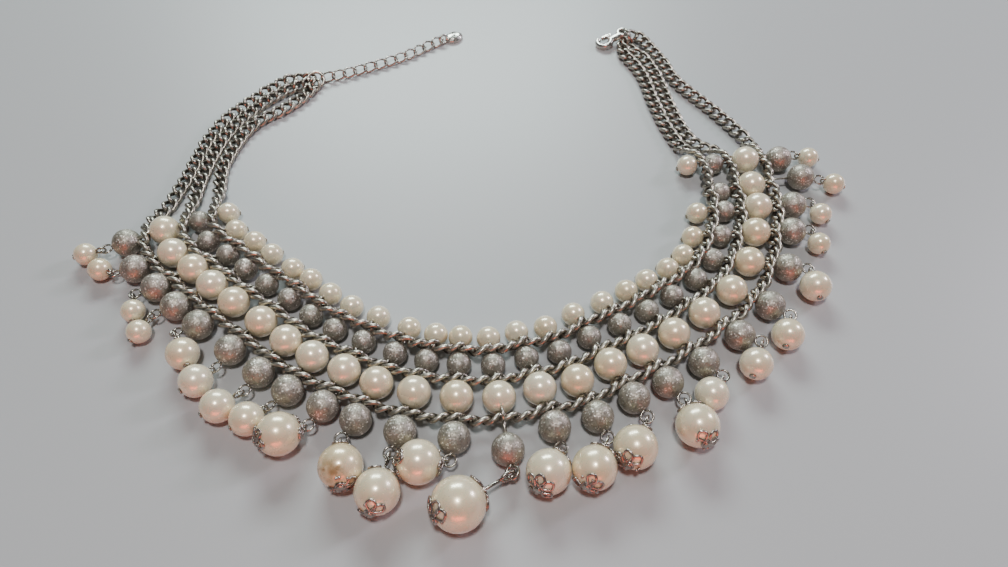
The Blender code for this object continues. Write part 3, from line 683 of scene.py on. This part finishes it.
def cap_meshes(radius):
    """A pierced flower cap on a pearl: open petals of wire, a collar and granules."""
    shell = radius + CAP_WIRE * 0.4

    def on_pearl(theta, phi):
        return (shell * math.cos(theta), shell * math.sin(theta) * math.cos(phi),
                shell * math.sin(theta) * math.sin(phi))

    middle = (PETAL_FROM + PETAL_TO) / 2
    half = (PETAL_TO - PETAL_FROM) / 2
    meshes = []
    for petal in range(PETALS):
        turn = 2 * math.pi * petal / PETALS
        path = []
        for k in range(PETAL_STEPS):
            t = 2 * math.pi * k / PETAL_STEPS
            from_tip = min(t, 2 * math.pi - t)
            point = PETAL_POINT * math.exp(-(from_tip / PETAL_POINT_WIDTH) ** 2)
            theta = middle + half * math.cos(t) + point
            taper = 1 - PETAL_TAPER + PETAL_TAPER * math.cos(t)
            phi = turn + PETAL_SPREAD * math.sin(t) * taper
            path.append(on_pearl(theta, phi))
        meshes.append(tube(path, CAP_WIRE / 2, CAP_SIDES, closed=True))
        between = turn + math.pi / PETALS
        ball, faces = icosphere(GRANULE, 2)
        meshes.append((ball + np.array(on_pearl(GRANULE_AT, between)), faces))
    turns = [2 * math.pi * k / COLLAR_STEPS for k in range(COLLAR_STEPS)]
    collar = [on_pearl(PETAL_FROM, turn) for turn in turns]
    meshes.append(tube(collar, CAP_WIRE * 0.6, CAP_SIDES, closed=True))
    return meshes


# Chains

def link_curve(length, width, wire, twist, steps):
    """The centre line of one link about X, twisted so that its neighbours fit through it."""
    a, b = (length - wire) / 2, (width - wire) / 2
    power = 2 / LINK_SQUARENESS
    points = []
    for k in range(steps):
        t = 2 * math.pi * k / steps
        x = a * math.copysign(abs(math.cos(t)) ** power, math.cos(t))
        y = b * math.copysign(abs(math.sin(t)) ** power, math.sin(t))
        turn = twist * x / a
        points.append((x, y * math.cos(turn), y * math.sin(turn)))
    return np.array(points)


def link_mesh():
    """One curb link and its shade: dark where a face looks at the chain's own axis."""
    path = link_curve(LINK_LENGTH, LINK_WIDTH, LINK_WIRE, LINK_TWIST, LINK_STEPS)
    verts, faces = tube(path, LINK_WIRE / 2, LINK_SIDES, closed=True)
    core = np.repeat(path, LINK_SIDES, axis=0)
    outward = core / np.linalg.norm(core, axis=1)[:, None]
    facing = np.einsum("ij,ij->i", (verts - core) / (LINK_WIRE / 2), outward)
    return (verts, faces), np.clip(0.5 - LINK_SHADE * facing, 0, 1)


def chain_route(feet, left, right):
    """A chain's dense centre line, and where on its points each sample lies."""
    points = left + feet + right
    at = smooth_route(points)
    first, last = len(left), len(left) + len(feet) - 1
    wheres = np.linspace(0, len(points) - 1, ROUTE_SAMPLES)
    line = np.array([at(where) for where in wheres])
    on_bib = (wheres > first) & (wheres < last)
    sag = np.where(on_bib, np.sin(math.pi * (wheres - first)) ** 2, 0.0)
    tangents = np.gradient(line, axis=0)
    out = np.cross(tangents, (0.0, 0.0, 1.0))
    out /= np.linalg.norm(out, axis=1)[:, None]
    line = line + out * (sag * SCALLOP)[:, None]
    return line, wheres, first, last


def build_chain(name, node, feet, left, right, rolls):
    """A whole curb chain as one piece, its links twisted through each other."""
    line, wheres, first, last = chain_route(feet, left, right)
    left_roll, right_roll = rolls
    roll = np.interp(wheres, [0, first - 2, first + 1, last - 1, last + 2, wheres[-1]],
                     [left_roll, left_roll, BIB_ROLL, BIB_ROLL, right_roll, right_roll])
    steps = np.linalg.norm(np.diff(line, axis=0), axis=1)
    walked = np.concatenate(([0], np.cumsum(steps)))
    count = round((walked[-1] - LINK_LENGTH) / LINK_PITCH) + 1
    spots = np.linspace(LINK_LENGTH / 2, walked[-1] - LINK_LENGTH / 2, count)
    mesh, shade = link_mesh()
    shape = Shape()
    for spot in spots:
        behind, here, ahead = [
            np.array([np.interp(at, walked, line[:, axis]) for axis in range(3)])
            for at in (spot - MM, spot, spot + MM)]
        from_end = min(spot, walked[-1] - spot)
        loose = LINK_JITTER + END_JITTER * math.exp(-from_end / END_REACH)
        link_roll = math.radians(np.interp(spot, walked, roll) + rng.normal(0, loose))
        verts, faces = put(mesh, here, aim(ahead - behind, link_roll))
        verts[:, 2] -= min(0.0, verts[:, 2].min())
        shape.add((verts, faces), shade=shade)
    piece = shape.build(name, [CHAIN_METAL], "antique_metal")
    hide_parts(node)


# Rows of beads

def tangent_at(feet, k):
    before, after = feet[max(k - 1, 0)], feet[min(k + 1, len(feet) - 1)]
    way = after - before
    way[2] = 0
    return unit(way)


def chain_eye(wires, bead_at, radius, foot, tangent):
    """The wire from a bead's hole to its loop through a link of the chain."""
    way = unit(foot - bead_at)
    centre = foot - way * (CHAIN_LOOP - LOOP_SINK)
    wires.add(loop_wire(bead_at + way * (radius - HOLE), centre, tangent, CHAIN_LOOP))
    return way


def add_head(shape, bead_at, axis, radius, slot=0):
    """A headpin's head on the far side of a bead."""
    shape.add(put(head_mesh(), bead_at + axis * radius, aim(axis)), slot)


def build_rows(places):
    """The bead rows A to D as joined pieces, and all their wires as one."""
    small_pearl = pearl_mesh(SMALL_PEARL / 2)
    medium_pearl = pearl_mesh(MEDIUM_PEARL / 2)
    small_stardust = stardust_mesh(SMALL_STARDUST / 2)
    large_stardust = stardust_mesh(LARGE_STARDUST / 2)
    chains = list(zip(*[(place.inner, place.middle, place.outer) for place in places]))
    rows = {name: Shape() for name in ("inner_pearls", "inner_stardust", "middle_pearls",
                                       "outer_stardust")}
    wires = Shape()
    for k, place in enumerate(places):
        along = [tangent_at(feet, k) for feet in chains]
        tone = np.clip(rng.normal(0.3, 0.18), 0, 1)
        if k + 1 != MISSING_INNER_PEARL:
            axis = chain_eye(wires, place.a, SMALL_PEARL / 2, place.inner, along[0])
            rows["inner_pearls"].add(put(small_pearl, place.a, aim(axis)), shade=tone)
            add_head(wires, place.a, -axis, SMALL_PEARL / 2)
        feet = [foot + way * BESIDE
                for foot, way in zip((place.inner, place.middle, place.outer), along)]
        chain_eye(wires, place.b, SMALL_STARDUST / 2, feet[0], along[0])
        chain_eye(wires, place.b, SMALL_STARDUST / 2, place.middle, along[1])
        rows["inner_stardust"].add(put(small_stardust, place.b, random_turn()))
        axis = chain_eye(wires, place.c, MEDIUM_PEARL / 2, feet[1], along[1])
        chain_eye(wires, place.c, MEDIUM_PEARL / 2, place.outer, along[2])
        rows["middle_pearls"].add(put(medium_pearl, place.c, aim(axis)),
                                  shade=np.clip(tone + rng.normal(0, 0.1), 0, 1))
        if COLUMNS[k].reach > LONG_PIN:
            hook = place.outer + np.array((0.0, 0.0, HOOK_LIFT))
            start = place.d + unit(hook - place.d) * (LARGE_STARDUST / 2 - HOLE)
            wires.add(loop_wire(start, hook, along[2], EYE_LOOP, 0.0, LONG_PIN_WIRE))
        else:
            chain_eye(wires, place.d, LARGE_STARDUST / 2, feet[2], along[2])
        rows["outer_stardust"].add(put(large_stardust, place.d, random_turn()))
    for name, shape in rows.items():
        if name.endswith("pearls"):
            shape.build(name, [PEARL], "pearl")
        else:
            shape.build(name, [STARDUST], "stardust")
    wires.build("eye_wires", [CHAIN_METAL], "antique_metal")


def build_drop(k, column, place):
    """A pearl drop: two linked eyes, the pearl, its headpin's head and a large one's caps."""
    pearly, capped, wired = range(3)
    radius = DROP[column.size] / 2
    shape = Shape()
    out = unit(place.eye - place.d)
    slope = unit(place.d - place.outer)
    joint = place.eye.copy()
    joint[2] = max(place.d[2] + slope[2] * (LARGE_STARDUST / 2 + EYE), EYE_LOOP + EYE_WIRE)
    tilt = math.radians(rng.uniform(0, EYE_TILT))
    turn = aim(out, tilt)
    way = unit(joint - place.d)
    start = place.d + way * (LARGE_STARDUST / 2 - HOLE)
    wire = LONG_PIN_WIRE if column.reach > LONG_PIN else EYE_WIRE
    looped = joint - way * LOOP_SHIFT
    shape.add(loop_wire(start, looped, turn[:, 2], EYE_LOOP, 0.0, wire), wired)
    axis = unit(place.drop - joint)
    turn = aim(axis, tilt + EYE_TURN)
    start = place.drop - axis * (radius - HOLE)
    oval = min(LONGEST_LOOP, column.reach * EYE)
    hooked = joint + axis * (EYE_LOOP - LOOP_SHIFT)
    shape.add(loop_wire(start, hooked, turn[:, 2], DROP_LOOP, oval, wire), wired)
    tone = np.clip(rng.normal(0.3, 0.2), 0, 1)
    pearl = PEARL
    if k + 1 == STAINED_DROP:
        spots = [(tuple(place.drop + unit(np.array(stain.way)) * radius),
                  stain.reach * radius, stain.strength) for stain in STAINS]
        pearl = pearl_material("pearl_stained", spots)
        tone = 1.0
    shape.add(put(pearl_mesh(radius), place.drop, aim(axis)), pearly, tone)
    head_at = radius
    if column.size in CAPPED:
        for side in (-1, 1):
            for mesh in cap_meshes(radius):
                turn = aim(axis * side, rng.uniform(0, math.pi))
                shape.add(put(mesh, place.drop, turn), capped, CAP_SHADE)
        head_at += CAP_WIRE * 0.6
    add_head(shape, place.drop, axis, head_at, wired)
    name = f"drop_{k + 1:02d}"
    piece = shape.build(f"pearl_{name}", [pearl, CAP_METAL, WIRE_METAL], "pearl")
    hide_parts(name)


# Rings, links, tag and clasp, from the frame's own nodes

def box_middle(node):
    low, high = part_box(node)
    return np.array((low + high) / 2)


def node_points(node):
    return np.array([vert.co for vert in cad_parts[node].data.vertices])


def build_link(node, wire, twist, metal, slot_name):
    """A round or oval link in fine facets, where the node of the same name lies."""
    points = node_points(node)
    centre = (points.max(0) + points.min(0)) / 2
    axes = np.linalg.eigh(np.cov((points - centre).T))[1]
    turn = np.column_stack((axes[:, 2], axes[:, 1], np.cross(axes[:, 2], axes[:, 1])))
    spread = np.ptp((points - centre) @ turn, axis=0)
    path = link_curve(spread[0], spread[1], wire, twist, RING_STEPS)
    verts, faces = put(tube(path, wire / 2, LINK_SIDES, closed=True), centre, turn)
    verts[:, 2] -= min(0.0, verts[:, 2].min())
    shape = Shape()
    shape.add((verts, faces), shade=RING_SHADE)
    piece = shape.build(f"{node}_wire", [metal], slot_name)
    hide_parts(node)


def build_cast(node, metal, body, voxel, rounds):
    """A cast piece: the node's form remeshed finely and worn round at its edges."""
    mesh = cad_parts[node].data.copy()
    piece = bpy.data.objects.new(f"{node}_cast", mesh)
    bpy.context.scene.collection.objects.link(piece)
    remesh = piece.modifiers.new("fine", "REMESH")
    remesh.mode = "VOXEL"
    remesh.voxel_size = voxel
    smooth = piece.modifiers.new("worn", "SMOOTH")
    smooth.factor = 0.5
    smooth.iterations = rounds
    swell = piece.modifiers.new("full", "DISPLACE")
    swell.mid_level = 0.0
    swell.strength = CAST_SWELL
    graph = bpy.context.evaluated_depsgraph_get()
    made = bpy.data.meshes.new_from_object(piece.evaluated_get(graph))
    piece.modifiers.clear()
    piece.data = made
    for vert in made.vertices:
        vert.co.z = max(vert.co.z, 0.0)
    made.materials.clear()
    made.materials.append(metal)
    made.shade_smooth()
    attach(piece, body)
    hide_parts(node)


def build_rivet():
    """The lever's rivet and the two cheeks that carry it from the clasp's stem."""
    lever_ends = (node_points("clasp_lever") - LEVER_PIVOT) @ LEVER_AXIS
    body = node_points("clasp_body") - LEVER_PIVOT
    flat = body - np.outer(body @ LEVER_AXIS, LEVER_AXIS)
    away = np.linalg.norm(flat, axis=1)
    reach = flat[away.argmin()] * (1 + RIVET / away.min())
    ends = (lever_ends.min() - RIVET * 0.5, lever_ends.max() + RIVET * 0.5)
    shape = Shape()
    pin = [LEVER_PIVOT + LEVER_AXIS * end for end in ends]
    shape.add(tube(pin, RIVET, RIVET_SIDES))
    for point in pin:
        shape.add(tube([point, point + reach], RIVET, RIVET_SIDES))
    shape.build("clasp_rivet", [CLASP_METAL], "clasp_metal")


# Stage, light and camera

def build_stage():
    mesh = bpy.data.meshes.new("floor")
    corners = [(x * FLOOR_HALF, y * FLOOR_HALF, 0)
               for x, y in ((-1, -1), (1, -1), (1, 1), (-1, 1))]
    mesh.from_pydata(corners, [], [(0, 1, 2, 3)])
    mesh.materials.append(floor_material())
    floor = bpy.data.objects.new("floor", mesh)
    floor.location.z = -FLOOR_DROP
    bpy.context.scene.collection.objects.link(floor)


def add_light(lamp):
    """A soft rectangular light that looks at the middle of the necklace."""
    light = bpy.data.lights.new(lamp.name, "AREA")
    light.shape = "RECTANGLE"
    light.size, light.size_y = lamp.size
    light.energy = lamp.power
    light.spread = math.radians(lamp.spread)
    light.color = lamp.tint
    piece = bpy.data.objects.new(lamp.name, light)
    piece.location = lamp.location
    piece.rotation_euler = (-Vector(lamp.location)).to_track_quat("-Z", "Y").to_euler()
    bpy.context.scene.collection.objects.link(piece)


def build_light_and_camera():
    world = bpy.data.worlds.new("world")
    world.use_nodes = True
    sky = world.node_tree.nodes["Background"]
    sky.inputs["Color"].default_value = SKY
    sky.inputs["Strength"].default_value = SKY_STRENGTH
    bpy.context.scene.world = world
    for lamp in LIGHTS:
        add_light(lamp)
    camera = bpy.data.cameras.new("camera")
    camera.lens = CAMERA_LENS
    camera.clip_start = MM
    camera_object = bpy.data.objects.new("camera", camera)
    camera_object.location = CAMERA_AT
    camera_object.rotation_euler = (math.radians(CAMERA_PITCH), 0, 0)
    bpy.context.scene.collection.objects.link(camera_object)
    bpy.context.scene.camera = camera_object


def build_necklace():
    left_ring, right_ring = box_middle("left_ring"), box_middle("right_ring")
    first_foot = np.array((left_ring[0] - LEFT_RING_AT[0], left_ring[1] - LEFT_RING_AT[1], 0.0))
    places = place_columns(first_foot)
    last_foot = places[-1].inner
    for name, left, right, rolls in (("inner", INNER_LEFT, INNER_RIGHT, INNER_ROLLS),
                                     ("middle", MIDDLE_LEFT, MIDDLE_RIGHT, MIDDLE_ROLLS),
                                     ("outer", OUTER_LEFT, OUTER_RIGHT, OUTER_ROLLS)):
        feet = [getattr(place, name) for place in places]
        build_chain(f"{name}_chain", f"{name}_row", feet,
                    upper_points(left, first_foot, feet[0], left_ring),
                    upper_points(right, last_foot, feet[-1], right_ring)[::-1], rolls)
    build_rows(places)
    for k, (column, place) in enumerate(zip(COLUMNS, places)):
        build_drop(k, column, place)

    build_link("left_ring", LEFT_RING_WIRE, 0.0, CHAIN_METAL, "antique_metal")
    build_link("right_ring", RIGHT_RING_WIRE, 0.0, WIRE_METAL, "clasp_metal")
    for node in sorted(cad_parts):
        if node.startswith("extender_link"):
            build_link(node, EXTENDER_WIRE, LINK_TWIST, EXTENDER_METAL, "antique_metal")
    build_rivet()
    build_cast("end_tag", CLASP_METAL, BODY, TAG_VOXEL, TAG_ROUNDS)
    build_cast("clasp_body", CLASP_METAL, BODY, BODY_VOXEL, CLASP_ROUNDS)
    build_cast("clasp_lever", CLASP_METAL, LEVER_BODY, LEVER_VOXEL, CLASP_ROUNDS)


build_necklace()
build_stage()
build_light_and_camera()
